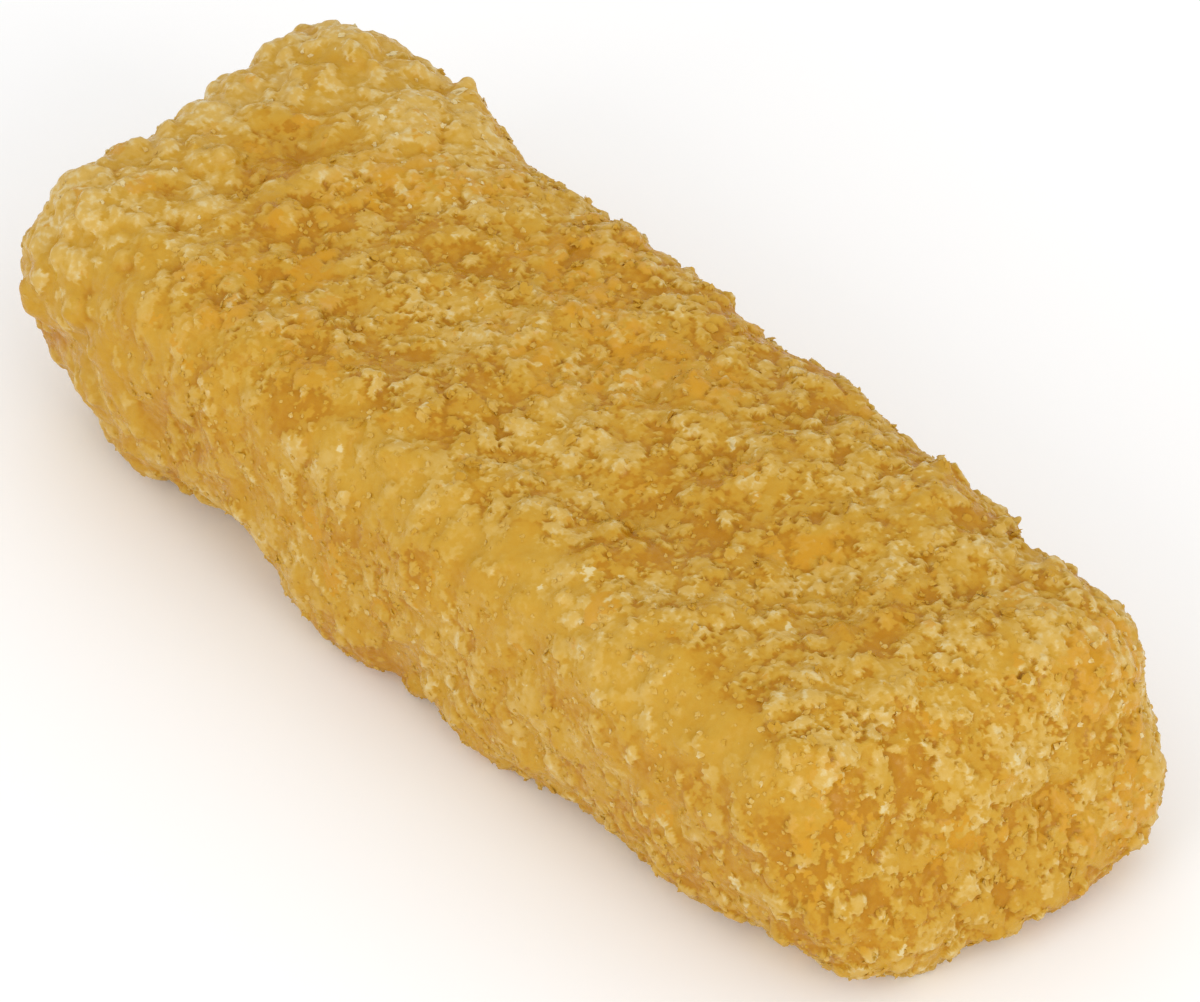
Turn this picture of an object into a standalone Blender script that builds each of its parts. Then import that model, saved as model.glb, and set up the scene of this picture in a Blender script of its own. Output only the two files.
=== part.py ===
"""A crumbed fish finger, cooked, lying flat on its broad side.

The long axis is X, the width is Y and +Z is up. The origin is on the surface that the finger lies on,
under the middle of its bounding box. All sizes are in metres.

The body is a sawn block of frozen fish: one box with round edges, whose two ends are cut askew and whose
sides bulge and dip a little. Its crust is relief in the same solid: the block is roughened all over, and the
largest crumbs and flakes are fused to it. The underside is pressed flat where its crumbs meet the tray.
"""

import math
import random

import bmesh
import bpy
from mathutils import Matrix, Vector, noise

# Driving dimensions of the block, before the crumbs that stand on it.
LENGTH = 0.0798
WIDTH = 0.0300
HEIGHT = 0.0197
EDGE_RADIUS = 0.0058
EDGE_SEGMENTS = 5
GRID = 0.0023  # spacing of the faces that carry the relief
PRESSED = 0.0004  # how much of its underside the tray has pressed flat

# How far the block departs from a true box, as slopes (length per length) unless a unit is given.
NEAR_END_LEAN = -0.26  # the +X end slopes outwards towards its foot
NEAR_END_SKEW = 0.10  # and is cut askew across the width
FAR_END_LEAN = -0.08  # the -X end overhangs a little at its top
FAR_END_SKEW = -0.10
TAPER = -0.035  # the width shrinks towards +X
DRAFT = 0.02  # the top is a little wider than the foot
THICKENING = 0.018  # the +X half is a little thicker
BOW = -0.0003  # metres that the middle sits towards -Y

# Hollows (below zero) and swellings (above zero), in millimetres:
# x, y and z of the middle, radius, height along the surface normal.
LUMP_FALLOFF = 1.5  # a lump keeps exp(-1.5) of its height at its radius
LUMPS = (
    # the far end, with a notch across its top edge
    (-37, 4, 18, 4.0, -1.2),
    (-31, 0, 19, 3.5, -1.2),
    (-29, 15, 17, 4.5, 1.1),
    (-36, 12, 17, 6.0, 0.4),
    (-34, -9, 19, 5.0, 0.4),
    (-40, -13, 11, 6.0, 1.8),
    (-32, -16, 1, 6.0, -1.2),
    # the long back edge
    (-23, 15, 18, 2.5, -0.6),
    (0, 15, 17, 4.0, 0.5),
    (9, 15, 18, 4.5, 2.2),
    (20, 15, 17, 6.0, 0.6),
    (34, 15, 18, 5.0, 1.2),
    # the long front edge
    (-18, -15, 1, 6.0, -1.1),
    (-6, -15, 1, 7.0, 1.0),
    (5, -15, 2, 4.0, 1.3),
    (19, -15, 18, 7.0, 0.5),
    # pits in the top
    (-13, 3, 19, 2.8, -0.6),
    (-10, -3, 19, 3.0, -0.8),
    (-2, 3, 19, 3.0, -0.8),
    (1, -6, 19, 2.6, -0.6),
    (11, -4, 19, 3.5, -0.9),
    (17, -8, 19, 3.0, -0.7),
    (24, -2, 20, 4.0, -1.2),
    (30, 2, 20, 3.0, -0.7),
    # the near end
    (37, 7, 19, 5.0, 0.5),
    (39, 15, 6, 6.0, 1.0),
    (42, 2, 2, 6.0, 1.2),
    (40, -7, 1, 5.0, 0.8),
    (35, -14, 1, 7.0, -1.8),
)

# The crust.
SWELL_HEIGHT, SWELL_SPACING = 0.0004, 0.009
CRAG_HEIGHT, CRAG_SPACING = 0.0007, 0.0034
JITTER = 0.00034  # how far each corner of the faces is off its place
FLAKES = (85, 0.0022, 0.0034)  # how many, shortest and longest across
CHIPS = (150, 0.0013, 0.0022)
FLAKE_TILT, CHIP_TILT = 30, 60  # degrees at most
CRUMB_THICKNESS = 0.62  # as a share of how wide a crumb is
CRUMB_GAP = 0.85  # least distance between two crumbs, as a share of their mean size
CRUMB_ROUGHNESS = 0.25
CRUMB_SINK = 0.06  # how deep a crumb's middle lies under the surface, as a share of its size
CRUMB_TRIES = 60  # places tried for a crumb before it is left out
SEED = 7

CRUST_COLOUR = (0.56, 0.33, 0.075, 1.0)
CRUST_ROUGHNESS = 0.62


def clear_scene():
    for obj in list(bpy.data.objects):
        bpy.data.objects.remove(obj)


def apply_modifiers(obj):
    """Replaces the object's mesh with what its modifiers make of it."""
    graph = bpy.context.evaluated_depsgraph_get()
    made = bpy.data.meshes.new_from_object(obj.evaluated_get(graph))
    obj.modifiers.clear()
    obj.data = made


def add_block():
    """A box with round edges, in even faces that can carry relief."""
    bpy.ops.mesh.primitive_cube_add(size=1, location=(0, 0, HEIGHT / 2))
    block = bpy.context.object
    block.scale = (LENGTH, WIDTH, HEIGHT)
    bpy.ops.object.transform_apply(location=True, rotation=False, scale=True)
    edges = block.modifiers.new("round_edges", "BEVEL")
    edges.width = EDGE_RADIUS
    edges.segments = EDGE_SEGMENTS
    grid = block.modifiers.new("even_faces", "REMESH")
    grid.mode = "VOXEL"
    grid.voxel_size = GRID
    apply_modifiers(block)
    return block


def skewed(point):
    """Where a point of the true box lies in the sawn block."""
    along = 2 * point.x / LENGTH
    up = point.z - HEIGHT / 2
    if along > 0:
        shift = along**2 * (NEAR_END_SKEW * point.y + NEAR_END_LEAN * up)
    else:
        shift = along**2 * (FAR_END_SKEW * point.y + FAR_END_LEAN * up)
    across = point.y * (1 + TAPER * along) * (1 + DRAFT * 2 * up / HEIGHT) + BOW * (1 - along**2)
    return Vector((point.x + shift, across, up * (1 + THICKENING * along) + HEIGHT / 2))


def lump_height(point):
    total = 0.0
    for x, y, z, radius, height in LUMPS:
        distance = (point - Vector((x, y, z)) / 1000).length / (radius / 1000)
        total += height / 1000 * math.exp(-LUMP_FALLOFF * distance**2)
    return total


def crag_height(point):
    """Rounded crumbs packed side by side, with creases between them."""
    nearest = noise.voronoi(point / CRAG_SPACING)[0][0]
    return CRAG_HEIGHT * (0.5 - min(nearest, 1.0))


def relief(point):
    return SWELL_HEIGHT * 2 * noise.noise(point / SWELL_SPACING) + crag_height(point)


def move_along_normals(mesh, height_at):
    mesh.update()
    heights = [height_at(vertex.co) for vertex in mesh.vertices]
    normals = [vertex.normal.copy() for vertex in mesh.vertices]
    for vertex, normal, height in zip(mesh.vertices, normals, heights):
        vertex.co += normal * height


def shape_block(block):
    for vertex in block.data.vertices:
        vertex.co = skewed(vertex.co)
    move_along_normals(block.data, lump_height)
    move_along_normals(block.data, relief)
    rng = random.Random(SEED)
    for vertex in block.data.vertices:
        vertex.co += JITTER * Vector([rng.uniform(-1, 1) for _ in range(3)])
    block.data.transform(Matrix.Translation((0, 0, -PRESSED)))


def flake_shape(size):
    shape = bmesh.new()
    bmesh.ops.create_icosphere(shape, subdivisions=1, radius=size / 2)
    return shape


def chip_shape(size):
    shape = bmesh.new()
    bmesh.ops.create_cube(shape, size=size * 0.8)
    return shape


def add_crumb(shape, place, normal, size, tilt, rng, collection):
    """One rough, angular crumb, lying on the surface at a random turn and tilt."""
    length = rng.uniform(0.95, 1.25)
    for vertex in shape.verts:
        vertex.co += CRUMB_ROUGHNESS * size / 2 * Vector([rng.uniform(-1, 1) for _ in range(3)])
        vertex.co.x *= length
        vertex.co.z *= CRUMB_THICKNESS
    bmesh.ops.triangulate(shape, faces=shape.faces)
    lean = Matrix.Rotation(math.radians(rng.uniform(-tilt, tilt)), 3, "X")
    turn = Matrix.Rotation(rng.uniform(0, math.tau), 3, "Z")
    face_up = normal.to_track_quat("Z", "Y").to_matrix()
    bmesh.ops.transform(shape, matrix=(face_up @ turn @ lean).to_4x4(), verts=shape.verts)
    bmesh.ops.translate(shape, vec=place - normal * CRUMB_SINK * size, verts=shape.verts)
    mesh = bpy.data.meshes.new("crumb")
    shape.to_mesh(mesh)
    shape.free()
    collection.objects.link(bpy.data.objects.new("crumb", mesh))


def random_place(mesh, faces, reach, rng):
    """A point on the surface and its normal, every part of the area being as likely."""
    area = rng.uniform(0, reach[-1])
    low, high = 0, len(reach) - 1
    while low < high:
        middle = (low + high) // 2
        low, high = (middle + 1, high) if reach[middle] < area else (low, middle)
    face = faces[low]
    corners = [mesh.vertices[index].co for index in face.vertices]
    weights = [rng.random() for _ in corners]
    place = sum((c * w for c, w in zip(corners, weights)), Vector()) / sum(weights)
    return place, face.normal.copy()


def scatter_crumbs(block, collection):
    """The largest crumbs come first, and each keeps clear of those already there."""
    rng = random.Random(SEED)
    mesh = block.data
    mesh.update()
    faces = list(mesh.polygons)
    reach, total = [], 0.0
    for face in faces:
        total += face.area
        reach.append(total)
    taken = []
    for (count, smallest, largest), tilt, make_shape in (
        (FLAKES, FLAKE_TILT, flake_shape),
        (CHIPS, CHIP_TILT, chip_shape),
    ):
        sizes = sorted((rng.uniform(smallest, largest) for _ in range(count)), reverse=True)
        for size in sizes:
            for _ in range(CRUMB_TRIES):
                place, normal = random_place(mesh, faces, reach, rng)
                if all((place - p).length > CRUMB_GAP * (size + s) / 2 for p, s in taken):
                    add_crumb(make_shape(size), place, normal, size, tilt, rng, collection)
                    taken.append((place, size))
                    break


def fuse(block, collection):
    """Joins the crumbs to the block, as one solid."""
    union = block.modifiers.new("fuse_crumbs", "BOOLEAN")
    union.operation = "UNION"
    union.operand_type = "COLLECTION"
    union.collection = collection
    union.solver = "MANIFOLD"
    apply_modifiers(block)
    for obj in list(collection.objects):
        bpy.data.objects.remove(obj)
    bpy.data.collections.remove(collection)


def press_flat(finger, cutters):
    """Cuts off what would reach below the tray, which leaves flat spots to rest on."""
    depth = 0.004
    bpy.ops.mesh.primitive_cube_add(size=1, location=(0, 0, -depth / 2))
    tray = bpy.context.object
    tray.name = "tray_cutter"
    tray.scale = (LENGTH * 1.5, WIDTH * 2, depth)
    bpy.ops.object.transform_apply(location=True, rotation=False, scale=True)
    tray.hide_render = True
    tray.display_type = "WIRE"
    move_to(tray, cutters)
    cut = finger.modifiers.new("press_flat", "BOOLEAN")
    cut.operation = "DIFFERENCE"
    cut.object = tray
    cut.solver = "MANIFOLD"
    apply_modifiers(finger)


def centre(finger):
    """Puts the middle of the bounding box over the origin."""
    points = [vertex.co for vertex in finger.data.vertices]
    middle = [(min(p[i] for p in points) + max(p[i] for p in points)) / 2 for i in range(2)]
    finger.data.transform(Matrix.Translation((-middle[0], -middle[1], 0)))


def crust_material():
    material = bpy.data.materials.new("crumb_crust")
    material.use_nodes = True
    shader = material.node_tree.nodes["Principled BSDF"]
    shader.inputs["Base Color"].default_value = CRUST_COLOUR
    shader.inputs["Roughness"].default_value = CRUST_ROUGHNESS
    shader.inputs["Metallic"].default_value = 0.0
    return material


def move_to(obj, collection):
    for owner in list(obj.users_collection):
        owner.objects.unlink(obj)
    collection.objects.link(obj)


def new_collection(name):
    collection = bpy.data.collections.new(name)
    bpy.context.scene.collection.children.link(collection)
    return collection


def build():
    clear_scene()
    parts = new_collection("fish_finger_parts")
    cutters = new_collection("cutters")
    crumbs = new_collection("crumbs")
    finger = add_block()
    finger.name = "fish_finger"
    move_to(finger, parts)
    shape_block(finger)
    scatter_crumbs(finger, crumbs)
    fuse(finger, crumbs)
    press_flat(finger, cutters)
    centre(finger)
    finger.data.name = "fish_finger"
    finger.data.materials.clear()
    finger.data.materials.append(crust_material())
    return finger


build()
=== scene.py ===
"""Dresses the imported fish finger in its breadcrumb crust, and sets up the studio round it.

The solid that the frame holds gives the form. The crust of overlapping flakes is raised out of a copy of it.
Then the loose crumbs that stick to it are scattered, from a millimetre across down to fine grains.
"""

import itertools
import math

import bpy
import numpy as np
from bpy.props import FloatProperty, FloatVectorProperty, IntProperty, PointerProperty
from mathutils import Euler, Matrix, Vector


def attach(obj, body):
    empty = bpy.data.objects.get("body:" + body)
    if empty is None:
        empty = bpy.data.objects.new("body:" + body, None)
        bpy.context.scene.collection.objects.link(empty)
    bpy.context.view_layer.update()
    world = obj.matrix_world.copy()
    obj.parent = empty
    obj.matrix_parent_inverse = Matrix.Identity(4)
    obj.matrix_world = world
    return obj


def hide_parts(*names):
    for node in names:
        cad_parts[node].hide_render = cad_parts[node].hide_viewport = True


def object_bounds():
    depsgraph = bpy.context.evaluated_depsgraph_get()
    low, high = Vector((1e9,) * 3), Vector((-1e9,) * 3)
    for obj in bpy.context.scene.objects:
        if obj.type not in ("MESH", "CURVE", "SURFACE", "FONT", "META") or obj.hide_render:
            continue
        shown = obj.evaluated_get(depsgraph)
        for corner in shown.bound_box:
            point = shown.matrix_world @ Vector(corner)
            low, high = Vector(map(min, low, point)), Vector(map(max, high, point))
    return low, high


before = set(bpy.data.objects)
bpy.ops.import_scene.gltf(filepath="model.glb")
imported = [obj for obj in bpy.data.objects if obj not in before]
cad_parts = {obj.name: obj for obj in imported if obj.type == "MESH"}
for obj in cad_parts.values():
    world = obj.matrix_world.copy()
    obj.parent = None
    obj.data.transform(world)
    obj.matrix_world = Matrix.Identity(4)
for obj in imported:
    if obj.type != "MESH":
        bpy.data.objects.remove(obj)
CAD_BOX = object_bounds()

bl_info = {
    "name": "Fish finger",
    "version": (1, 0, 0),
    "blender": (4, 5, 0),
    "location": "View3D > Sidebar > Fish finger",
    "description": "Builds a breadcrumbed fish finger over its plain solid",
    "category": "Add Mesh",
}

NODE = "fish_finger"
LOW = Vector(CAD_BOX[0])
HIGH = Vector(CAD_BOX[1])
SIZE = HIGH - LOW
MM = 0.001
EDGE_MARGIN = 0.00002  # how far inside the solid's box the crust and crumbs stay, except at the floor


def linear(red, green, blue):
    """A display colour from 0 to 255 as the shader's own linear values."""
    values = [c / 255 for c in (red, green, blue)]
    return tuple(c / 12.92 if c <= 0.04045 else ((c + 0.055) / 1.055) ** 2.4 for c in values)


# ---------------------------------------------------------------------------------------------------------
# Settings


class CrustSettings(bpy.types.PropertyGroup):
    form_grid: FloatProperty(
        name="Form grid",
        description="Spacing of faces on the softened form",
        default=0.36 * MM,
        unit="LENGTH",
    )
    grid: FloatProperty(
        name="Grid",
        description="Spacing of faces on the finished crust",
        default=0.115 * MM,
        unit="LENGTH",
    )
    sink: FloatProperty(
        name="Sink",
        description="How far the bottom of the crust lies under the solid's surface",
        default=0.25 * MM,
        unit="LENGTH",
    )
    grain: FloatProperty(
        name="Grain",
        description="Width of the grains that flakes are made of",
        default=0.24 * MM,
        unit="LENGTH",
    )


class CrumbSettings(bpy.types.PropertyGroup):
    coarse_crumbs: IntProperty(name="Coarse crumbs", description="How many", default=450)
    fine_crumbs: IntProperty(name="Fine crumbs", description="How many", default=3500)
    grains: IntProperty(name="Grains", description="How many", default=2000)


class ColourSettings(bpy.types.PropertyGroup):
    # This colour is the dark end of the shade ramp: mostly painted shade in pits, gaps, clefts and hollows,
    # and partly the darkest bare batter.
    pit_shade: FloatVectorProperty(
        name="Pits", description="Soaked crust in the pits", subtype="COLOR", default=linear(178, 121, 13)
    )
    batter: FloatVectorProperty(
        name="Batter", description="Smooth crust", subtype="COLOR", default=linear(190, 141, 34)
    )
    crumb: FloatVectorProperty(
        name="Crumb", description="Most crumbs", subtype="COLOR", default=linear(194, 150, 48)
    )
    pale: FloatVectorProperty(
        name="Pale crumb", description="The palest crumbs", subtype="COLOR", default=linear(204, 167, 84)
    )
    cream: FloatVectorProperty(
        name="Cream",
        description="Flakes that stayed almost white",
        subtype="COLOR",
        default=linear(213, 193, 139),
    )
    orange: FloatVectorProperty(
        name="Orange patch",
        description="Patches browned in oil",
        subtype="COLOR",
        default=linear(198, 141, 24),
    )


class StudioSettings(bpy.types.PropertyGroup):
    azimuth: FloatProperty(
        name="Azimuth",
        description="Turn of the camera round the finger, from -Y",
        default=math.radians(48.975),
        subtype="ANGLE",
    )
    elevation: FloatProperty(
        name="Elevation", description="Height of the camera", default=math.radians(42.479), subtype="ANGLE"
    )
    distance: FloatProperty(
        name="Distance", description="From the camera to the finger", default=0.6179, unit="LENGTH"
    )
    focal_length: FloatProperty(
        name="Focal length", description="In millimetres, on a 36 mm sensor", default=290.4
    )
    dome: FloatProperty(name="Dome", description="Strength of the white surroundings", default=0.92)
    lamps: FloatProperty(name="Lamps", description="Power of both lamps in watts", default=2.3)


# ---------------------------------------------------------------------------------------------------------
# Modelling helpers


def deselect_all():
    for obj in bpy.context.selected_objects:
        obj.select_set(False)


def activate(obj):
    deselect_all()
    obj.select_set(True)
    bpy.context.view_layer.objects.active = obj


def apply_modifiers(obj):
    activate(obj)
    for modifier in list(obj.modifiers):
        bpy.ops.object.modifier_apply(modifier=modifier.name)


def vertex_places(mesh):
    places = np.empty(len(mesh.vertices) * 3, np.float32)
    mesh.vertices.foreach_get("co", places)
    return places.reshape(-1, 3)


def set_vertex_places(mesh, places):
    mesh.vertices.foreach_set("co", np.ascontiguousarray(places, np.float32).ravel())
    mesh.update()


def vertex_normals(mesh):
    normals = np.empty(len(mesh.vertices) * 3, np.float32)
    mesh.vertex_normals.foreach_get("vector", normals)
    return normals.reshape(-1, 3)


def store(mesh, name, values):
    attribute = mesh.attributes.new(name, "FLOAT", "POINT")
    attribute.data.foreach_set("value", np.ascontiguousarray(values, np.float32))


def kept_in_box(places):
    low = np.array(LOW) + (EDGE_MARGIN, EDGE_MARGIN, 0)
    high = np.array(HIGH) - EDGE_MARGIN
    return np.clip(places, low, high)


def between(limits, share):
    low, high = limits
    return low + (high - low) * share


def smoothstep(low, high, value):
    t = np.clip((value - low) / (high - low), 0, 1)
    return t * t * (3 - 2 * t)


# ---------------------------------------------------------------------------------------------------------
# Random patterns in space, all worked out for many places at once


# Turns the patterns' lattice out of line with the sides of the finger.
LATTICE_TURN = np.array(Euler((0.6, 0.4, 0.9)).to_matrix())


def hashed(cells, seed):
    """A random number from 0 to 1 for each cell of a lattice."""
    i, j, k = np.asarray(cells, np.int64).T
    mixed = i * 73856093 ^ j * 19349663 ^ k * 83492791 ^ seed * 2654435761
    mixed = (mixed ^ mixed >> 13) * 1274126177
    mixed = (mixed ^ mixed >> 16) * 668265263
    return ((mixed ^ mixed >> 15) & 0xFFFFFF) / 0xFFFFFF


def wavy(places, size, seed):
    """Soft hills and hollows about one size apart, from 0 to 1."""
    scaled = places @ LATTICE_TURN / size
    home = np.floor(scaled)
    part = scaled - home
    part = part * part * (3 - 2 * part)
    total = np.zeros(len(places))
    for corner in itertools.product((0, 1), repeat=3):
        weight = np.prod(np.where(corner, part, 1 - part), axis=1)
        total += weight * hashed(home + corner, seed)
    return total


def cells_at(places, size, seed):
    """The cell of a jittered lattice that each place is in, and the cell's middle."""
    scaled = places / size
    home = np.floor(scaled)
    best = np.full(len(places), 9.0)
    cells = np.zeros_like(home)
    middles = np.zeros_like(home)
    for offset in itertools.product((-1, 0, 1), repeat=3):
        cell = home + offset
        middle = cell + np.stack([hashed(cell, seed + axis) for axis in range(3)], axis=1)
        reach = ((scaled - middle) ** 2).sum(axis=1)
        closer = reach < best
        best[closer] = reach[closer]
        cells[closer] = cell[closer]
        middles[closer] = middle[closer]
    return cells, middles * size


# ---------------------------------------------------------------------------------------------------------
# The crust

# Flakes of each layer: how far apart, how many of the places have one, and their tone from 0 for batter to 1
# for the palest crumb. Slabs lie at a height of their own over the bottom of the crust, slope, and drop to
# their edges. Scraps lie on whatever is there, and add their thickness. Lengths in mm.
SLABS = (
    dict(apart=3.6, share=0.65, tone=(0.20, 0.60), rise=(0.05, 0.30), slope=0.10, drop=0.05),
    dict(apart=2.6, share=0.70, tone=(0.25, 0.75), rise=(0.10, 0.40), slope=0.14, drop=0.07),
    dict(apart=1.9, share=0.65, tone=(0.30, 0.85), rise=(0.14, 0.48), slope=0.16, drop=0.09),
    dict(apart=1.4, share=0.60, tone=(0.30, 0.90), rise=(0.18, 0.54), slope=0.18, drop=0.10),
    dict(apart=1.0, share=0.45, tone=(0.30, 0.90), rise=(0.18, 0.56), slope=0.20, drop=0.10),
)
SCRAPS = (
    dict(apart=1.2, share=0.22, tone=(0.40, 0.85), thick=(0.06, 0.15)),
    dict(apart=0.8, share=0.25, tone=(0.45, 0.90), thick=(0.05, 0.12)),
    dict(apart=0.5, share=0.20, tone=(0.45, 0.95), thick=(0.04, 0.10)),
)
# Where the crust is painted paler (+) or browner (-), partly its own tone and partly painted shade in the
# hollows: the place as shares of the size from the middle, the reach in mm, and the change.
ZONES = (
    ((-0.42, -0.28, 0.45), 9.0, 0.27),  # the far end's corner over the front
    ((-0.48, 0.30, 0.20), 10.0, 0.42),  # the far end
    ((-0.34, 0.25, 0.50), 7.0, 0.33),  # the far end's rim toward the back
    # Painted shade in the hollow near the far end.
    ((-0.37, 0.03, 0.45), 4.0, -0.75),  # the hollow near the far end
    ((-0.44, 0.02, 0.40), 3.0, 0.18),  # the pale edge beyond the hollow
    ((-0.46, -0.46, -0.10), 6.0, -0.20),  # low down on the far end's corner
    ((-0.30, -0.12, 0.50), 3.5, -0.22),  # a brown spot beside the hollow
    ((-0.24, 0.20, 0.50), 4.0, 0.14),  # a pale spot toward the back
    ((-0.20, -0.15, 0.50), 6.0, -0.06),  # the top, toward the far end
    # Painted shade in the shallow hollow along the middle.
    ((0.10, 0.10, 0.50), 8.0, -0.08),  # the shallow hollow along the middle
    ((0.13, -0.18, 0.50), 6.0, -0.14),  # browner crumbs along the ridge
    ((0.24, 0.10, 0.50), 7.0, -0.14),  # the middle, toward the near end
    ((0.30, -0.08, 0.50), 4.0, -0.16),  # a brown spot beside the ridge
    ((0.22, -0.42, 0.45), 10.0, 0.08),  # the ridge over the front
    ((0.40, -0.38, 0.45), 6.0, 0.08),  # the ridge's near corner
    ((0.49, 0.25, 0.42), 8.0, 0.14),  # the near end's upper edge
    ((0.47, 0.48, 0.00), 7.0, 0.16),  # the near end's back corner
    ((0.50, -0.25, -0.05), 6.0, -0.10),  # low on the near end
    ((-0.10, 0.48, 0.40), 9.0, 0.05),  # the back edge
)
# The round lumps at the far end: how far apart and how high, in mm, and the seed of their pattern.
LUMPS = ((4.4, 0.85, 81), (2.4, 0.40, 91))
LUMP_REACH = 0.78  # of the distance apart
LUMP_SINK = 0.40  # mm, so that the lumps stand no higher than the rest
# Patterns are packed less closely upward, so that flakes on the sides are taller than they are wide.
UPRIGHT = np.array((1.0, 1.0, 0.8))
KNOB_WIDTH = 0.5  # mm
KNOB_HEIGHT = 0.10  # mm
SPECK_HEIGHT = 0.03  # mm
BATTER_HEIGHT = 0.36  # mm over the bottom of the crust
RAGGEDNESS = 0.06  # mm, how far places wander sideways
CREAMY_SHARE = 0.015  # of the small flakes
# Rounds of softening on the coarse faces of the form, and then on its fine faces.
FORM_ROUNDS = (14, 4)
# Rounds of spreading from vertex to vertex: over whole flakes, over a flake's rim and over the steps in its
# edge.
FLAKE_ROUNDS = 24
RIM_ROUNDS = 3
STEP_ROUNDS = 2


def softness(places):
    """From 0 where the crust is flaky to 1 where it is smooth batter: on the ridge, less so on the front."""
    x, y, z = places.T
    ragged = 2.4 * MM * (wavy(places, 3.3 * MM, 71) - 0.5)
    front = smoothstep(-0.36 * SIZE.y, -0.46 * SIZE.y, y + ragged)
    away = np.hypot(y + 0.42 * SIZE.y, z - 0.86 * SIZE.z)
    ridge = smoothstep(4.5 * MM, 2.0 * MM, away + ragged) * smoothstep(-0.22 * SIZE.x, -0.05 * SIZE.x, x)
    return np.maximum(0.75 * front, ridge) * smoothstep(0.46 * SIZE.x, 0.36 * SIZE.x, x)


def lumpiness(places):
    """From 0 to 1 at the far end, where the crust is swollen into round lumps with clefts between them."""
    ragged = 4 * MM * (wavy(places, 5 * MM, 73) - 0.5)
    return smoothstep(-0.24 * SIZE.x, -0.36 * SIZE.x, places[:, 0] + ragged)


def crumbliness(places):
    """How many of the flakes are there: fewer on batter, on the round lumps and here and there elsewhere."""
    patchy = 0.55 + 0.60 * smoothstep(0.32, 0.62, wavy(places, 5.0 * MM, 75))
    return patchy * (1 - 0.55 * softness(places)) * (1 - 0.20 * lumpiness(places))


def lumps(places):
    """Height of the round lumps."""
    total = np.zeros(len(places))
    for apart, height, seed in LUMPS:
        _, middles = cells_at(places, apart * MM, seed)
        away = np.linalg.norm(places - middles, axis=1) / (LUMP_REACH * apart * MM)
        total += height * MM * np.clip(1 - away**2, 0, 1)
    return total


def make_form(settings):
    """A softened copy of the solid, with even faces small enough for the crust's relief."""
    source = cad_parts[NODE]
    form = bpy.data.objects.new("crust_form", source.data.copy())
    bpy.context.scene.collection.objects.link(form)
    activate(form)
    bpy.ops.object.mode_set(mode="EDIT")
    bpy.ops.mesh.select_all(action="SELECT")
    bpy.ops.mesh.remove_doubles(threshold=0.001 * MM)
    bpy.ops.object.mode_set(mode="OBJECT")
    for grid, rounds in zip((settings.form_grid, settings.grid), FORM_ROUNDS):
        faces = form.modifiers.new("even_faces", "REMESH")
        faces.mode = "VOXEL"
        faces.voxel_size = grid
        soften = form.modifiers.new("soften", "SMOOTH")
        soften.factor = 0.5
        soften.iterations = rounds
        apply_modifiers(form)
    return form


def flakes_at(seed, layer, grains):
    """For each grain: whether it is in a flake of the layer, the flake's cell and the flake's middle."""
    apart = layer["apart"] * MM
    cells, middles = cells_at(grains, apart, seed)
    offset = grains - middles
    along = np.stack([hashed(cells, seed + 11 + axis) for axis in range(3)], axis=1) - 0.5
    along /= np.linalg.norm(along, axis=1)[:, None]
    reach = np.sqrt((offset**2).sum(axis=1) + 1.2 * (offset * along).sum(axis=1) ** 2)
    edge = apart * between((0.38, 0.88), wavy(grains, 0.35 * apart, seed + 5))
    edge += 0.12 * MM * (hashed(np.round(grains / (0.01 * MM)), seed + 6) - 0.5)
    there = (reach < edge) & (hashed(cells, seed + 7) < layer["share"] * crumbliness(middles / UPRIGHT))
    return there, cells, middles


def zoned_tone_and_shade(places):
    """How much paler or browner the crust is painted round each place than elsewhere: partly its own tone,
    partly painted shade in the hollows.
    """
    change = np.zeros(len(places))
    middle = np.array((LOW + HIGH) / 2)
    for share, reach, amount in ZONES:
        away = np.linalg.norm(places - middle - np.array(share) * np.array(SIZE), axis=1)
        change += amount * np.exp(-((away / (reach * MM)) ** 2))
    return change


def blurred(values, edges, rounds):
    """Values spread out over the mesh, from vertex to vertex."""
    count = np.bincount(edges.ravel(), minlength=len(values))
    for _ in range(rounds):
        total = np.bincount(edges[:, 0], values[edges[:, 1]], len(values))
        total += np.bincount(edges[:, 1], values[edges[:, 0]], len(values))
        values = 0.5 * values + 0.5 * total / count
    return values


def edges_of(mesh):
    edges = np.empty(len(mesh.edges) * 2, np.int32)
    mesh.edges.foreach_get("vertices", edges)
    return edges.reshape(-1, 2)


def even_directions(mesh, edges):
    """Outward directions that don't follow the form's small unevenness."""
    columns = vertex_normals(mesh).astype(float).T
    normals = np.stack([blurred(column, edges, FLAKE_ROUNDS) for column in columns], axis=1)
    return normals / np.linalg.norm(normals, axis=1)[:, None]


def grains_of(places, width):
    """The grains of the crust: their middles, a random number for each, and which one each place is in."""
    cells, middles = cells_at(places, width, 3)
    keys = (cells * (1, 4096, 4096 * 4096)).sum(axis=1)
    _, first, owner = np.unique(keys, return_index=True, return_inverse=True)
    return middles[first], hashed(cells[first], 17), owner


def slab_heights(seed, layer, flakes, offset, owner):
    """How high the slabs of one layer lie at each place, by its offset from the middle of its slab."""
    tilt = np.stack([hashed(flakes, seed + 21 + axis) for axis in range(3)], axis=1) - 0.5
    slope = 2 * layer["slope"] * (offset * tilt[owner]).sum(axis=1)
    away = (offset**2).sum(axis=1) / (layer["apart"] * MM) ** 2
    rise = between(layer["rise"], hashed(flakes, seed + 8))[owner] * MM
    return rise + slope - 4 * layer["drop"] * MM * away


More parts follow.
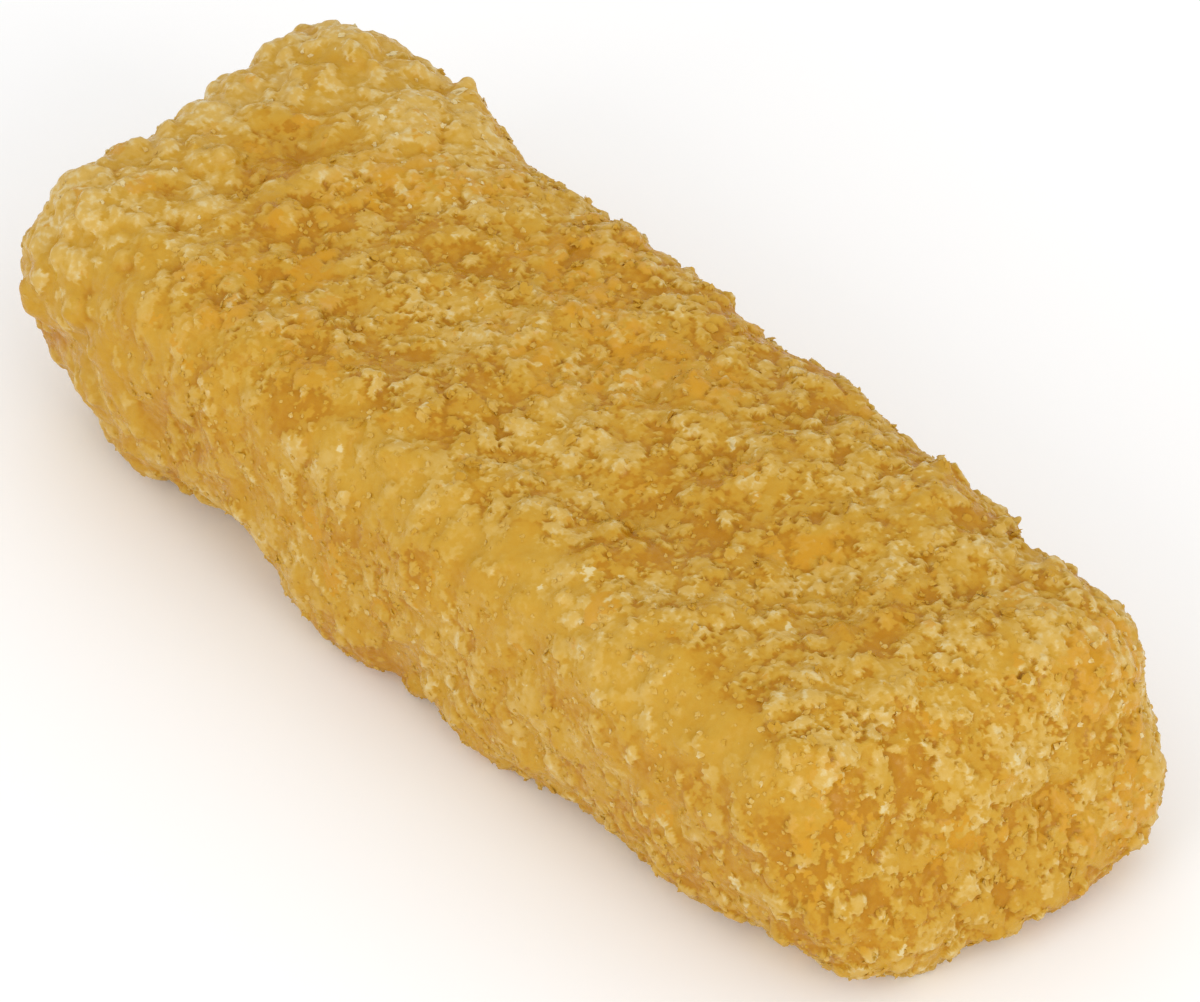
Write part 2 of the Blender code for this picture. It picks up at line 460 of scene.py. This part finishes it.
def lay_flakes(places, grains, owner, soft, lumpy):
    """Lays the layers over one another: height, tone and brownness of what is on top, and if it is cream."""
    heights = 0.25 * MM * (wavy(places, 1.6 * MM, 41) - 0.3)
    tones = between((0.12, 0.46), wavy(places, 0.9 * MM, 43)) + 0.10 * soft + 0.20 * lumpy
    browns = np.zeros(len(places))
    creamy = np.zeros(len(places), bool)
    for seed, layer in zip(itertools.count(100, 100), (*SLABS, *SCRAPS)):
        there, flakes, middles = flakes_at(seed, layer, grains)
        if "thick" in layer:
            over = there[owner]
            heights += over * between(layer["thick"], hashed(flakes, seed + 8))[owner] * MM
        else:
            slabs = slab_heights(seed, layer, flakes, places - middles[owner], owner)
            over = there[owner] & (slabs > heights)
            heights = np.where(over, slabs, heights)
        tones = np.where(over, between(layer["tone"], hashed(flakes, seed + 9))[owner] + 0.12 * lumpy, tones)
        browns = np.where(over, hashed(flakes, seed + 10)[owner], browns)
        creamy &= ~over
        if layer["apart"] < 1:
            creamy |= over & (hashed(flakes, seed + 12) > 1 - CREAMY_SHARE)[owner]
    return heights, tones, browns, creamy


def knobs(places):
    """Height of the small round knobs on every flake."""
    _, middles = cells_at(places, KNOB_WIDTH * MM, 47)
    return KNOB_HEIGHT * MM * (0.3 - ((places - middles) ** 2).sum(axis=1) / (KNOB_WIDTH * MM) ** 2)


def browned_patches(places, browns, smooth):
    """How far each place is browned: a flake here and there, and most flakes in some patches."""
    patches = smoothstep(0.56, 0.70, wavy(places, 6 * MM, 61) * 0.6 + wavy(places, 2.5 * MM, 62) * 0.4)
    patches *= 1 - 0.9 * smooth
    return 0.9 * patches * smoothstep(0.1, 0.6, browns) + 0.8 * smoothstep(0.97, 0.98, browns)


def raise_flakes(form, settings):
    """Raises the flakes out of the form, and stores how pale and how brown each place is, with painted
    highlights on high flakes and flake edges and painted shade in gaps, pits and clefts.

    Gives back the outward directions of the crust as it would be with its flakes evened out.
    """
    mesh = form.data
    places = vertex_places(mesh).astype(float)
    edges = edges_of(mesh)
    normals = even_directions(mesh, edges)
    stretched = places * UPRIGHT
    grains, specks, owner = grains_of(stretched, settings.grain)
    speck = specks[owner] - 0.5
    soft = softness(grains / UPRIGHT)[owner]
    lumpy = lumpiness(grains / UPRIGHT)[owner]
    swollen = lumps(places) * lumpy
    heights, tones, browns, creamy = lay_flakes(stretched, grains, owner, soft, lumpy)
    heights += (knobs(stretched) + SPECK_HEIGHT * MM * speck) * (1 - 0.3 * soft)
    # Batter buries the flakes, and the round lumps are smoother than the rest.
    level = blurred(heights, edges, FLAKE_ROUNDS)
    proud = (heights - level) * (1 - 0.25 * soft) * (1 - 0.30 * lumpy)
    heights = (level + proud) * (1 - 0.5 * soft) + 0.5 * soft * BATTER_HEIGHT * MM
    heights = blurred(heights, edges, STEP_ROUNDS)
    heights += (blurred(heights, edges, RIM_ROUNDS) - heights) * 0.6 * lumpy
    rim_light_and_shade = heights - blurred(heights, edges, RIM_ROUNDS)
    heights += swollen - LUMP_SINK * MM * lumpy
    # Painted light and shade: high flakes and the edges of flakes are painted paler, as if lit and shone
    # through where they are thin, and the gaps, pits and feet of flakes are painted amber where shade falls.
    shade = 0.47 + 0.8 * (tones - 0.48) + 1.2 * (level / MM - 0.25) + 0.06 * speck
    # Painted shade below the flakes' level, painted light above it.
    shade += np.where(proud > 0, 0.9, 2.0) * proud / MM
    # Painted highlight along the upper edges of flakes, painted shade at the feet of their walls.
    shade += 2.8 * np.clip(rim_light_and_shade / MM, -0.07, 0.06) * (1 - 0.4 * lumpy)
    ridge = smoothstep(0.72, 0.90, soft)
    shade += (between((0.53, 0.64), ridge) - shade) * between((0.30, 0.55), ridge) * soft
    shade += 0.34 * (wavy(places, 5 * MM, 77) - 0.5) + 0.30 * (wavy(places, 2.2 * MM, 78) - 0.5)
    # Painted shade: the clefts between the round lumps are painted darker.
    clefts = smoothstep(0.35, 0.0, swollen / MM) * lumpy
    shade = np.minimum(shade + zoned_tone_and_shade(places) + 0.08 * lumpy - 0.6 * clefts, 0.88)
    shade = np.where(creamy, 0.95, shade)
    # The stored shade holds the flakes' own tone together with the painted light and shade.
    store(mesh, "shade", np.clip(shade, 0, 1))
    store(mesh, "brown", np.clip(browned_patches(places, browns, np.maximum(soft, lumpy)), 0, 1))
    aside = np.stack([wavy(places, 0.2 * MM, 51 + axis) for axis in range(3)], axis=1) - 0.5
    shift = normals * (heights - settings.sink)[:, None]
    shift += RAGGEDNESS * MM * aside * (1 - 0.8 * soft)[:, None]
    set_vertex_places(mesh, places + normals * (level + swollen)[:, None])
    even = vertex_normals(mesh)
    set_vertex_places(mesh, kept_in_box(places + shift))
    return even


MOST_TRIANGLES = 190000  # in one piece
EVENNESS = 0.8  # how much flakes shade like the form under them, as light passes through from crumb to crumb
VALUES = ("shade", "brown")


def stored(mesh, name):
    values = np.empty(len(mesh.vertices), np.float32)
    mesh.attributes[name].data.foreach_get("value", values)
    return values


def triangles_of(mesh):
    mesh.calc_loop_triangles()
    triangles = np.empty(len(mesh.loop_triangles) * 3, np.int32)
    mesh.loop_triangles.foreach_get("vertices", triangles)
    return triangles.reshape(-1, 3)


def leant(directions, toward_these, share):
    """Directions turned part of the way toward others."""
    turned = (1 - share) * directions + share * toward_these
    return turned / np.linalg.norm(turned, axis=1)[:, None]


def split(crust, even):
    """Cuts the crust along its length into pieces that are small enough and shade as one."""
    mesh = crust.data
    places = vertex_places(mesh)
    normals = leant(vertex_normals(mesh), even, EVENNESS)
    faces = triangles_of(mesh)
    along = places[faces[:, 0], 0]
    count = math.ceil(len(faces) / MOST_TRIANGLES)
    borders = np.quantile(along, np.linspace(0, 1, count + 1))
    values = {name: stored(mesh, name) for name in VALUES}
    pieces = []
    for index in range(count):
        last = index == count - 1
        inside = (along >= borders[index]) & ((along < borders[index + 1]) | last)
        used, local = np.unique(faces[inside], return_inverse=True)
        own_values = {name: value[used] for name, value in values.items()}
        part = mesh_of(f"crust_{index + 1}", places[used], local.reshape(-1, 3), own_values)
        part.normals_split_custom_set_from_vertices(normals[used].tolist())
        pieces.append(add_object(part))
    bpy.data.objects.remove(crust)
    return pieces


def make_crust(settings):
    form = make_form(settings)
    even = raise_flakes(form, settings)
    surface = surface_of(form.data)
    return split(form, even), surface


# ---------------------------------------------------------------------------------------------------------
# The crumbs

SHAPES_PER_KIND = 8
SHAPE_SPACING = 3.7  # of the modelled shapes, so that each is torn in its own way
BALL_CUTS = 4
FACET_EVENNESS = 0.4  # how much the facets of loose crumbs shade like the crust under them
UNDERSIDE = (0.6, 0.3)  # below this height in mm, this share of the loose crumbs
# Each kind of loose crumb: size in mm, faces, how flat, the ball's lobes and how far they bulge and are torn,
# how far it leans in degrees, how high it sits and how close to others as shares of its size, its tone, and
# how much rarer it is on batter and on the round lumps.
KINDS = {
    "coarse_crumbs": dict(
        size=(0.5, 1.1),
        faces=70,
        flatness=0.42,
        lobe=0.35,
        bulge=0.5,
        tear=0.7,
        tilt=18,
        rise=(-0.10, 0.02),
        gap=0.9,
        tone=(0.3, 0.75),
        thin_on_batter=0.6,
        thin_on_lumps=0.8,
    ),
    "fine_crumbs": dict(
        size=(0.25, 0.5),
        faces=36,
        flatness=0.6,
        lobe=0.5,
        bulge=0.4,
        tear=0.6,
        tilt=40,
        rise=(-0.05, 0.10),
        gap=0.8,
        tone=(0.45, 0.8),
        thin_on_batter=-0.4,
        thin_on_lumps=0.85,
    ),
    "grains": dict(
        size=(0.10, 0.18),
        faces=20,
        flatness=0.8,
        lobe=0.6,
        bulge=0.3,
        tear=0.2,
        tilt=60,
        rise=(-0.1, 0.1),
        gap=0.8,
        tone=(0.4, 0.7),
        thin_on_batter=0.1,
        thin_on_lumps=0.95,
    ),
}


def model_crumb(number, kind):
    """A ragged crumb one unit across: a ball swollen into lobes, torn, and cut down to a few faces."""
    deselect_all()
    place = (number * SHAPE_SPACING, 0, 0)
    bpy.ops.mesh.primitive_ico_sphere_add(subdivisions=BALL_CUTS, radius=0.5, location=place)
    crumb = bpy.context.object
    lobes = bpy.data.textures.new("lobes", "VORONOI")
    lobes.distance_metric = "DISTANCE_SQUARED"
    lobes.noise_scale = kind["lobe"]
    torn = bpy.data.textures.new("torn", "CLOUDS")
    torn.noise_scale = 0.42
    torn.noise_depth = 2
    torn.noise_type = "HARD_NOISE"
    for texture, strength in ((lobes, -kind["bulge"]), (torn, kind["tear"])):
        push = crumb.modifiers.new(texture.name, "DISPLACE")
        push.texture = texture
        push.texture_coords = "GLOBAL"
        push.strength = strength
        push.mid_level = 0.5
    thin = crumb.modifiers.new("few_faces", "DECIMATE")
    thin.ratio = kind["faces"] / len(crumb.data.polygons)
    apply_modifiers(crumb)
    mesh = crumb.data
    places = vertex_places(mesh)
    places -= places.mean(axis=0)
    places /= np.ptp(places, axis=0).max()
    # Painted highlight: the outer points are painted paler, for light that shines through thin edges.
    tip_highlight = smoothstep(0.35, 0.6, np.linalg.norm(places, axis=1))
    places[:, 2] *= kind["flatness"]
    triangles = triangles_of(mesh)
    bpy.data.objects.remove(crumb)
    bpy.data.meshes.remove(mesh)
    return places, triangles, tip_highlight


def surface_of(mesh):
    """Centre, area and outward direction of each face."""
    count = len(mesh.polygons)
    centres = np.empty(count * 3, np.float32)
    areas = np.empty(count, np.float32)
    normals = np.empty(count * 3, np.float32)
    mesh.polygons.foreach_get("center", centres)
    mesh.polygons.foreach_get("area", areas)
    mesh.polygons.foreach_get("normal", normals)
    return centres.reshape(-1, 3), areas, normals.reshape(-1, 3)


def spread(rng, centres, weights, sizes, gap):
    """Faces for the crumbs, largest first, each clear of its neighbours by a share of their size."""
    chances = np.cumsum(weights)
    tries = np.searchsorted(chances, rng.random(len(sizes) * 12) * chances[-1])
    spots = centres[tries].tolist()
    cell = gap * sizes[0]
    taken = {}
    chosen = []
    at = 0
    for size in sizes.tolist():
        while at < len(tries):
            x, y, z = spots[at]
            face = tries[at]
            at += 1
            i, j, k = int(x // cell), int(y // cell), int(z // cell)
            near = (
                entry
                for a in (i - 1, i, i + 1)
                for b in (j - 1, j, j + 1)
                for c in (k - 1, k, k + 1)
                for entry in taken.get((a, b, c), ())
            )
            if all(
                (x - ox) ** 2 + (y - oy) ** 2 + (z - oz) ** 2 > (gap * (size + other) / 2) ** 2
                for ox, oy, oz, other in near
            ):
                taken.setdefault((i, j, k), []).append((x, y, z, size))
                chosen.append(face)
                break
    return np.array(chosen)


def frames_on(normals, spins, leans, turns):
    """A rotation for each crumb: its flat side on the surface, spun, and leaning over a little."""
    helper = np.where(np.abs(normals[:, 2:3]) < 0.9, (0.0, 0.0, 1.0), (1.0, 0.0, 0.0))
    across = np.cross(helper, normals)
    across /= np.linalg.norm(across, axis=1)[:, None]
    along = np.cross(normals, across)
    aside = np.cos(turns)[:, None] * across + np.sin(turns)[:, None] * along
    up = np.cos(leans)[:, None] * normals + np.sin(leans)[:, None] * aside
    side = np.cross(up, across)
    side /= np.linalg.norm(side, axis=1)[:, None]
    other = np.cross(up, side)
    first = np.cos(spins)[:, None] * side + np.sin(spins)[:, None] * other
    return np.stack([first, np.cross(up, first), up], axis=2)


def mesh_of(name, places, faces, values):
    """A mesh from arrays, with a value stored at each vertex under each name."""
    mesh = bpy.data.meshes.new(name)
    mesh.vertices.add(len(places))
    mesh.loops.add(faces.size)
    mesh.polygons.add(len(faces))
    mesh.loops.foreach_set("vertex_index", np.ascontiguousarray(faces, np.int32).ravel())
    mesh.polygons.foreach_set("loop_start", np.arange(len(faces), dtype=np.int32) * faces.shape[1])
    set_vertex_places(mesh, places)
    mesh.validate()
    for key, value in values.items():
        store(mesh, key, value)
    mesh.shade_smooth()
    return mesh


def add_object(mesh):
    obj = bpy.data.objects.new(mesh.name, mesh)
    bpy.context.scene.collection.objects.link(obj)
    return obj


def soften_facets(mesh, even):
    """Shades each facet flat, but leaning toward the surface that the crumb lies on."""
    facets = surface_of(mesh)[2]
    corners = np.empty(len(mesh.loops), np.int32)
    mesh.loops.foreach_get("vertex_index", corners)
    under = even[corners[::3]]
    mesh.normals_split_custom_set(np.repeat(leant(facets, under, FACET_EVENNESS), 3, axis=0).tolist())


def crumb_weights(surface, kind):
    """How likely a crumb of the kind is to lie on each face."""
    centres, areas, _ = surface
    low, share = UNDERSIDE
    weights = areas * (1 - kind["thin_on_batter"] * softness(centres))
    weights *= 1 - kind["thin_on_lumps"] * lumpiness(centres)
    return weights * np.where(centres[:, 2] < low * MM, share, 1.0)


def scatter(name, surface, count, seed):
    """All the crumbs of one kind, as one mesh."""
    kind = KINDS[name]
    rng = np.random.default_rng(seed)
    shapes = [model_crumb(seed * 11 + i, kind) for i in range(SHAPES_PER_KIND)]
    centres, _, normals = surface
    sizes = np.sort(rng.uniform(*kind["size"], count) * MM)[::-1]
    faces = spread(rng, centres, crumb_weights(surface, kind), sizes, kind["gap"])
    number = len(faces)
    sizes = sizes[:number]
    leans = np.radians(kind["tilt"]) * np.sqrt(rng.random(number))
    spins = rng.uniform(0, math.tau, number)
    turned = frames_on(normals[faces], spins, leans, rng.uniform(0, math.tau, number))
    rise = rng.uniform(*kind["rise"], number) * sizes
    stretch = rng.uniform(0.8, 1.25, (number, 3)) * sizes[:, None]
    tones = rng.uniform(*kind["tone"], number)
    spots = centres[faces] + normals[faces] * rise[:, None]
    which = rng.integers(0, len(shapes), number)
    places, triangles, shades, even = [], [], [], []
    used = 0
    for index, (shape, shape_triangles, tip_highlight) in enumerate(shapes):
        mine = np.nonzero(which == index)[0]
        bodies = np.einsum("nij,nvj->nvi", turned[mine], shape[None] * stretch[mine][:, None])
        places.append((bodies + spots[mine][:, None]).reshape(-1, 3))
        firsts = used + np.arange(len(mine)) * len(shape)
        triangles.append((shape_triangles[None] + firsts[:, None, None]).reshape(-1, 3))
        # Each crumb's tone, with the painted highlight on its outer points.
        shades.append((tones[mine][:, None] + 0.15 * tip_highlight[None]).ravel())
        even.append(np.repeat(normals[faces[mine]], len(shape), axis=0))
        used += len(mine) * len(shape)
    places = kept_in_box(np.concatenate(places))
    # The zones' tone and painted shade, as on the crust.
    values = {"shade": np.concatenate(shades) + zoned_tone_and_shade(places), "brown": np.zeros(len(places))}
    mesh = mesh_of(name, places, np.concatenate(triangles), values)
    soften_facets(mesh, np.concatenate(even))
    return add_object(mesh)


# ---------------------------------------------------------------------------------------------------------
# Materials


def mottling_group():
    """Mottling of one size over the finger, as one value for each place."""
    group = bpy.data.node_groups.new("crust_mottling", "ShaderNodeTree")
    group.interface.new_socket("Size", in_out="INPUT", socket_type="NodeSocketFloat")
    group.interface.new_socket("Mottling", in_out="OUTPUT", socket_type="NodeSocketFloat")
    nodes, links = group.nodes, group.links
    into = nodes.new("NodeGroupInput")
    out = nodes.new("NodeGroupOutput")
    place = nodes.new("ShaderNodeTexCoord")
    divide = nodes.new("ShaderNodeVectorMath")
    divide.operation = "DIVIDE"
    pattern = nodes.new("ShaderNodeTexNoise")
    pattern.inputs["Scale"].default_value = 1.0
    pattern.inputs["Detail"].default_value = 3.0
    links.new(place.outputs["Object"], divide.inputs[0])
    links.new(into.outputs["Size"], divide.inputs[1])
    links.new(divide.outputs[0], pattern.inputs["Vector"])
    links.new(pattern.outputs["Fac"], out.inputs["Mottling"])
    return group


def attribute(nodes, name):
    node = nodes.new("ShaderNodeAttribute")
    node.attribute_name = name
    return node.outputs["Fac"]


def mapped(nodes, links, value, low, high, bottom=0.0, top=1.0):
    node = nodes.new("ShaderNodeMapRange")
    node.interpolation_type = "SMOOTHSTEP"
    node.inputs["From Min"].default_value = low
    node.inputs["From Max"].default_value = high
    node.inputs["To Min"].default_value = bottom
    node.inputs["To Max"].default_value = top
    links.new(value, node.inputs["Value"])
    return node.outputs["Result"]


def mixed(nodes, links, factor, first, second):
    node = nodes.new("ShaderNodeMix")
    node.data_type = "RGBA"
    if hasattr(factor, "default_value"):
        links.new(factor, node.inputs["Factor"])
    else:
        node.inputs["Factor"].default_value = factor
    for value, socket in ((first, node.inputs["A"]), (second, node.inputs["B"])):
        if hasattr(value, "default_value"):
            links.new(value, socket)
        else:
            socket.default_value = (*value, 1.0)
    return node.outputs["Result"]


def crust_material(colours):
    """Straw-coloured flakes over amber pits, browned here and there; the amber of the pits is mostly painted
    shade.
    """
    material = bpy.data.materials.new("breadcrumb_crust")
    material.use_nodes = True
    nodes, links = material.node_tree.nodes, material.node_tree.links
    shader = nodes["Principled BSDF"]
    fine = nodes.new("ShaderNodeGroup")
    fine.node_tree = mottling_group()
    fine.inputs["Size"].default_value = 0.5 * MM
    mottled = nodes.new("ShaderNodeMath")
    mottled.operation = "ADD"
    links.new(attribute(nodes, "shade"), mottled.inputs[0])
    links.new(mapped(nodes, links, fine.outputs["Mottling"], 0.25, 0.75, -0.10, 0.10), mottled.inputs[1])
    ramp = nodes.new("ShaderNodeValToRGB")
    ramp.color_ramp.elements[0].position = 0.0
    # The dark end of the ramp carries the painted shade.
    ramp.color_ramp.elements[0].color = (*colours.pit_shade, 1)
    ramp.color_ramp.elements[1].position = 1.0
    ramp.color_ramp.elements[1].color = (*colours.cream, 1)
    for position, colour in ((0.30, colours.batter), (0.60, colours.crumb), (0.88, colours.pale)):
        ramp.color_ramp.elements.new(position).color = (*colour, 1)
    links.new(mottled.outputs[0], ramp.inputs["Fac"])
    browned = mapped(nodes, links, attribute(nodes, "brown"), 0.0, 1.0, 0.0, 0.8)
    colour = mixed(nodes, links, browned, ramp.outputs["Color"], tuple(colours.orange))
    links.new(colour, shader.inputs["Base Color"])
    roughness = mapped(nodes, links, fine.outputs["Mottling"], 0.35, 0.65, 0.6, 0.2)
    links.new(roughness, shader.inputs["Roughness"])
    shader.inputs["IOR"].default_value = 1.45
    shader.inputs["Specular IOR Level"].default_value = 0.25
    bump = nodes.new("ShaderNodeBump")
    bump.inputs["Strength"].default_value = 0.5
    bump.inputs["Distance"].default_value = 0.10 * MM
    links.new(fine.outputs["Mottling"], bump.inputs["Height"])
    links.new(bump.outputs["Normal"], shader.inputs["Normal"])
    return material


def floor_material():
    material = bpy.data.materials.new("studio_floor")
    material.use_nodes = True
    shader = material.node_tree.nodes["Principled BSDF"]
    shader.inputs["Base Color"].default_value = (0.98, 0.98, 0.98, 1.0)
    shader.inputs["Roughness"].default_value = 0.9
    shader.inputs["Specular IOR Level"].default_value = 0.1
    return material


# ---------------------------------------------------------------------------------------------------------
# Operators


def finish_piece(obj, material):
    obj.data.materials.clear()
    obj.data.materials.append(material)
    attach(obj, "root")


SHARED = {}


class FISHFINGER_OT_crust(bpy.types.Operator):
    """Raise the flaky crust out of a copy of the plain solid"""

    bl_idname = "fishfinger.crust"
    bl_label = "Crust"

    def execute(self, context):
        scene = context.scene
        pieces, SHARED["surface"] = make_crust(scene.fishfinger_crust)
        SHARED["material"] = crust_material(scene.fishfinger_colours)
        for piece in pieces:
            finish_piece(piece, SHARED["material"])
            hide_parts(NODE)
        return {"FINISHED"}


class FISHFINGER_OT_crumbs(bpy.types.Operator):
    """Scatter the loose crumbs and grains over the crust"""

    bl_idname = "fishfinger.crumbs"
    bl_label = "Crumbs"

    def execute(self, context):
        scene = context.scene
        for seed, name in enumerate(KINDS, start=11):
            piece = scatter(name, SHARED["surface"], getattr(scene.fishfinger_crumbs, name), seed)
            finish_piece(piece, SHARED["material"])
        return {"FINISHED"}


CAMERA_TARGET = Vector((0, 0, 0.00997))
CAMERA_SHIFT = (0.0181, -0.0032)
FLOOR_WIDTH = 6.0
LAMP_DISTANCE = 0.7
LAMP_WIDTH = 0.4
# Each lamp's name, its turn from the camera and its height in degrees, and its share of the power.
LAMPS = (("key", 35, 25, 0.56), ("fill", -45, 28, 0.33))


def toward(azimuth, elevation):
    """The direction in which something stands, by its turn from -Y and its height."""
    flat = math.cos(elevation)
    return Vector((math.sin(azimuth) * flat, -math.cos(azimuth) * flat, math.sin(elevation)))


def add_area_light(name, place, target, size, power):
    bpy.ops.object.light_add(type="AREA", location=place)
    light = bpy.context.object
    light.name = name
    light.data.size = size
    light.data.energy = power
    light.rotation_euler = (Vector(target) - Vector(place)).to_track_quat("-Z", "Y").to_euler()
    return light


def lay_floor():
    deselect_all()
    bpy.ops.mesh.primitive_plane_add(size=FLOOR_WIDTH, location=(0, 0, 0))
    floor = bpy.context.object
    floor.name = "floor"
    floor.data.materials.append(floor_material())


def light_the_set(scene, studio):
    world = bpy.data.worlds.new("white_surroundings")
    world.use_nodes = True
    background = world.node_tree.nodes["Background"]
    background.inputs["Color"].default_value = (1, 1, 1, 1)
    background.inputs["Strength"].default_value = studio.dome
    scene.world = world
    scene.view_settings.view_transform = "Standard"
    middle = Vector((0, 0, SIZE.z / 2))
    for name, turn, height, share in LAMPS:
        beside = toward(studio.azimuth + math.radians(turn), math.radians(height))
        add_area_light(name, middle + beside * LAMP_DISTANCE, middle, LAMP_WIDTH, studio.lamps * share)


def place_camera(scene, studio):
    back = toward(studio.azimuth, studio.elevation)
    bpy.ops.object.camera_add(location=CAMERA_TARGET + back * studio.distance)
    camera = bpy.context.object
    camera.rotation_euler = (-back).to_track_quat("-Z", "Y").to_euler()
    camera.data.lens = studio.focal_length
    camera.data.sensor_width = 36
    camera.data.clip_start = 0.01
    camera.data.shift_x, camera.data.shift_y = CAMERA_SHIFT
    scene.camera = camera


class FISHFINGER_OT_stage(bpy.types.Operator):
    """Lay the floor and set the lights and the camera"""

    bl_idname = "fishfinger.stage"
    bl_label = "Stage"

    def execute(self, context):
        studio = context.scene.fishfinger_studio
        lay_floor()
        light_the_set(context.scene, studio)
        place_camera(context.scene, studio)
        return {"FINISHED"}


class FISHFINGER_PT_panel(bpy.types.Panel):
    bl_label = "Fish finger"
    bl_space_type = "VIEW_3D"
    bl_region_type = "UI"
    bl_category = "Fish finger"

    def draw(self, context):
        for operator in OPERATORS:
            self.layout.operator(operator.bl_idname)


OPERATORS = (FISHFINGER_OT_crust, FISHFINGER_OT_crumbs, FISHFINGER_OT_stage)
SETTINGS = {
    "fishfinger_crust": CrustSettings,
    "fishfinger_crumbs": CrumbSettings,
    "fishfinger_colours": ColourSettings,
    "fishfinger_studio": StudioSettings,
}


def register():
    for cls in (*SETTINGS.values(), *OPERATORS, FISHFINGER_PT_panel):
        bpy.utils.register_class(cls)
    for name, cls in SETTINGS.items():
        setattr(bpy.types.Scene, name, PointerProperty(type=cls))


def unregister():
    for name in SETTINGS:
        delattr(bpy.types.Scene, name)
    for cls in (FISHFINGER_PT_panel, *reversed(OPERATORS), *SETTINGS.values()):
        bpy.utils.unregister_class(cls)


def main():
    register()
    bpy.ops.fishfinger.crust()
    bpy.ops.fishfinger.crumbs()
    bpy.ops.fishfinger.stage()


if __name__ == "__main__":
    main()
